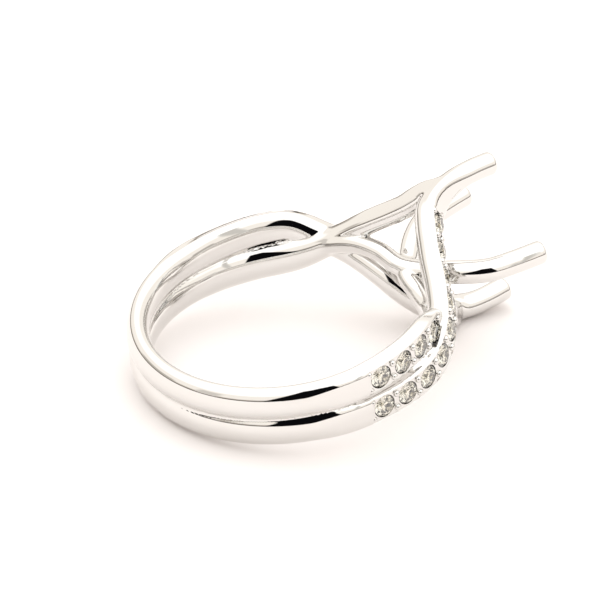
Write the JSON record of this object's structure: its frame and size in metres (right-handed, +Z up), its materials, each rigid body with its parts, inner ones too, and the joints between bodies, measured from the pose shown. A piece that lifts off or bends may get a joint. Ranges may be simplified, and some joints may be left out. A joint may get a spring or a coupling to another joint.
{
  "type": "semi-mount ring",
  "caption": "Polished white gold semi-mount ring: two crossing wires with set stones rise into an open four-prong head for a centre stone.",
  "frame": {"origin": "centre of the finger hole, halfway through the band, with the ring lying on its side", "axes": "+X towards the head, level; +Z up as the ring lies on a flat surface, which is the finger's direction tipped back by 9 degrees; +Y towards the far shoulder"},
  "size_m": [0.0275, 0.0204, 0.0117],
  "materials": {
    "white_gold": "polished",
    "diamond": "faceted and polished"
  },
  "bodies": {
    "root": {"ring_mount": "white_gold", "near_outer_stone_01": "diamond", "near_outer_stone_02": "diamond", "near_outer_stone_03": "diamond", "near_outer_stone_04": "diamond", "near_outer_stone_05": "diamond", "near_outer_stone_06": "diamond", "near_outer_stone_07": "diamond", "near_outer_stone_08": "diamond", "near_outer_stone_09": "diamond", "far_inner_stone_01": "diamond", "far_inner_stone_02": "diamond", "far_inner_stone_03": "diamond", "far_inner_stone_04": "diamond", "far_inner_stone_05": "diamond", "far_inner_stone_06": "diamond", "far_inner_stone_07": "diamond", "far_outer_stone_01": "diamond", "far_outer_stone_02": "diamond", "far_outer_stone_03": "diamond", "far_outer_stone_04": "diamond", "far_outer_stone_05": "diamond", "far_outer_stone_06": "diamond", "far_outer_stone_07": "diamond", "far_outer_stone_08": "diamond", "far_outer_stone_09": "diamond", "near_inner_stone_01": "diamond", "near_inner_stone_02": "diamond", "near_inner_stone_03": "diamond", "near_inner_stone_04": "diamond", "near_inner_stone_05": "diamond", "near_inner_stone_06": "diamond", "near_inner_stone_07": "diamond"}
  },
  "joints": []
}
